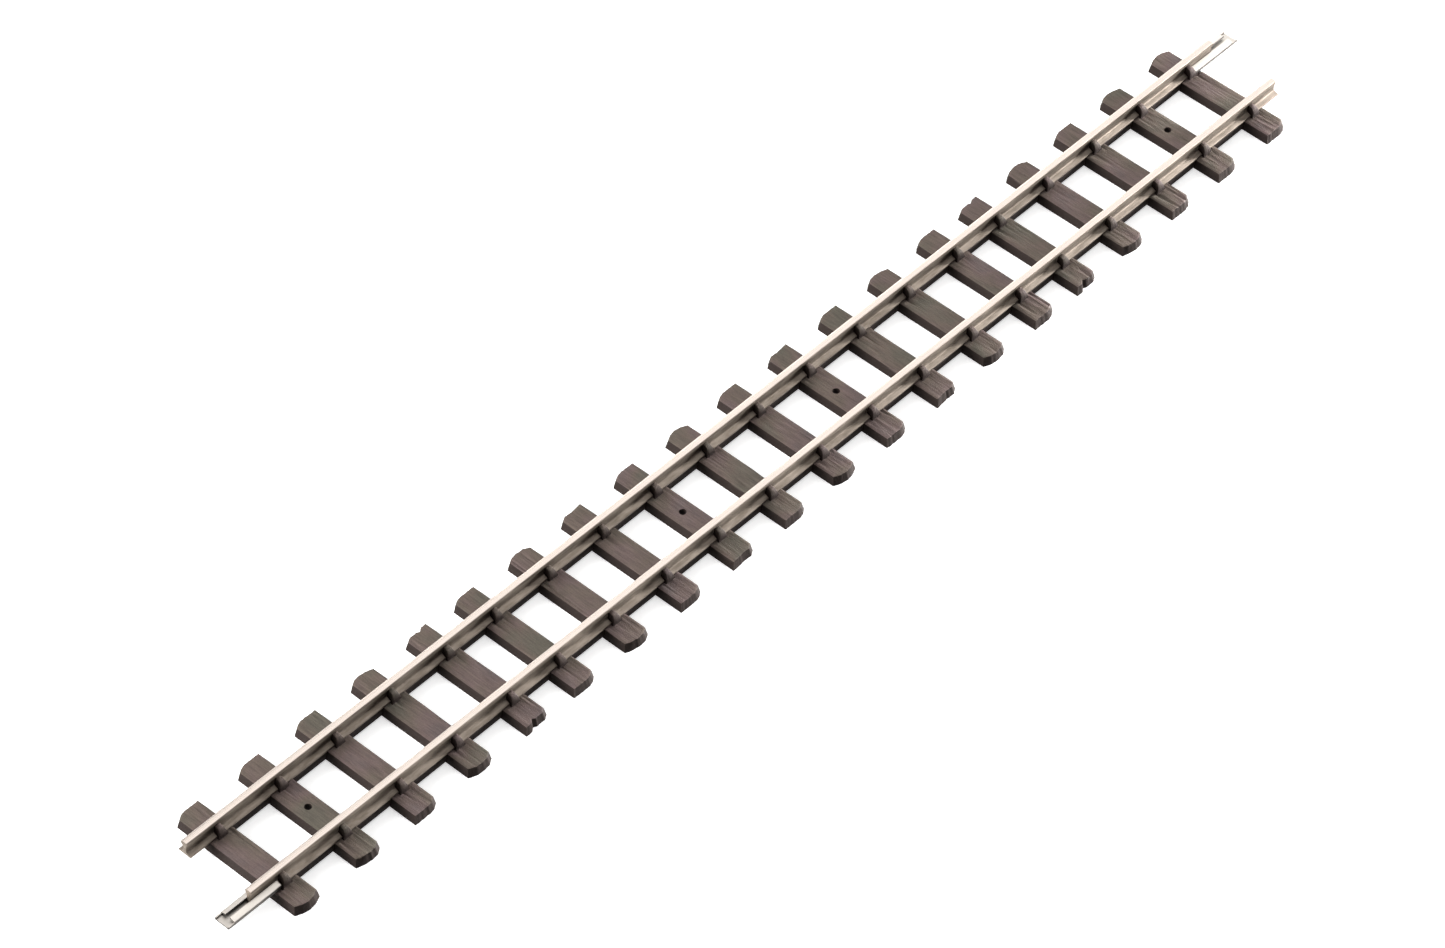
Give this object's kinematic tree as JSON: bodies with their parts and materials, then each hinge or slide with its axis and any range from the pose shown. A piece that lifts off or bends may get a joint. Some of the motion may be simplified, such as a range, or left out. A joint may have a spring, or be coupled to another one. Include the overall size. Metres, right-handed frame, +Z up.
{
  "type": "model track section",
  "caption": "Straight section of narrow-gauge model railway track: two flat-bottom metal rails in moulded chairs on linked plastic sleepers, with a sliding joiner at each end.",
  "frame": {"origin": "under the middle of the track, on the surface that the sleepers stand on", "axes": "+X along the rails, +Y across the track towards the left rail, +Z up"},
  "size_m": [0.182, 0.0196, 0.0033],
  "materials": {
    "sleeper_plastic": "moulded matt dark brown with a fine wood grain",
    "rail_metal": "drawn nickel silver, bright on the head and duller on the sides",
    "joiner_metal": "thin folded nickel silver sheet, bright"
  },
  "bodies": {
    "track": {"sleeper_01": "sleeper_plastic", "sleeper_02": "sleeper_plastic", "sleeper_03": "sleeper_plastic", "sleeper_04": "sleeper_plastic", "sleeper_05": "sleeper_plastic", "sleeper_06": "sleeper_plastic", "sleeper_07": "sleeper_plastic", "sleeper_08": "sleeper_plastic", "sleeper_09": "sleeper_plastic", "sleeper_10": "sleeper_plastic", "sleeper_11": "sleeper_plastic", "sleeper_12": "sleeper_plastic", "sleeper_13": "sleeper_plastic", "sleeper_14": "sleeper_plastic", "sleeper_15": "sleeper_plastic", "sleeper_16": "sleeper_plastic", "sleeper_17": "sleeper_plastic", "sleeper_18": "sleeper_plastic", "sleeper_19": "sleeper_plastic", "sleeper_20": "sleeper_plastic", "rail_left": "rail_metal", "rail_right": "rail_metal"},
    "near_joiner": {"joiner_near": "joiner_metal"},
    "far_joiner": {"joiner_far": "joiner_metal"}
  },
  "joints": [
    {"name": "joiner_near_slide", "type": "slide", "parent": "track", "child": "near_joiner", "axis": [-1, 0, 0], "range_m": [0, 0.0037]},
    {"name": "joiner_far_slide", "type": "slide", "parent": "track", "child": "far_joiner", "axis": [1, 0, 0], "range_m": [0, 0.0037]}
  ]
}
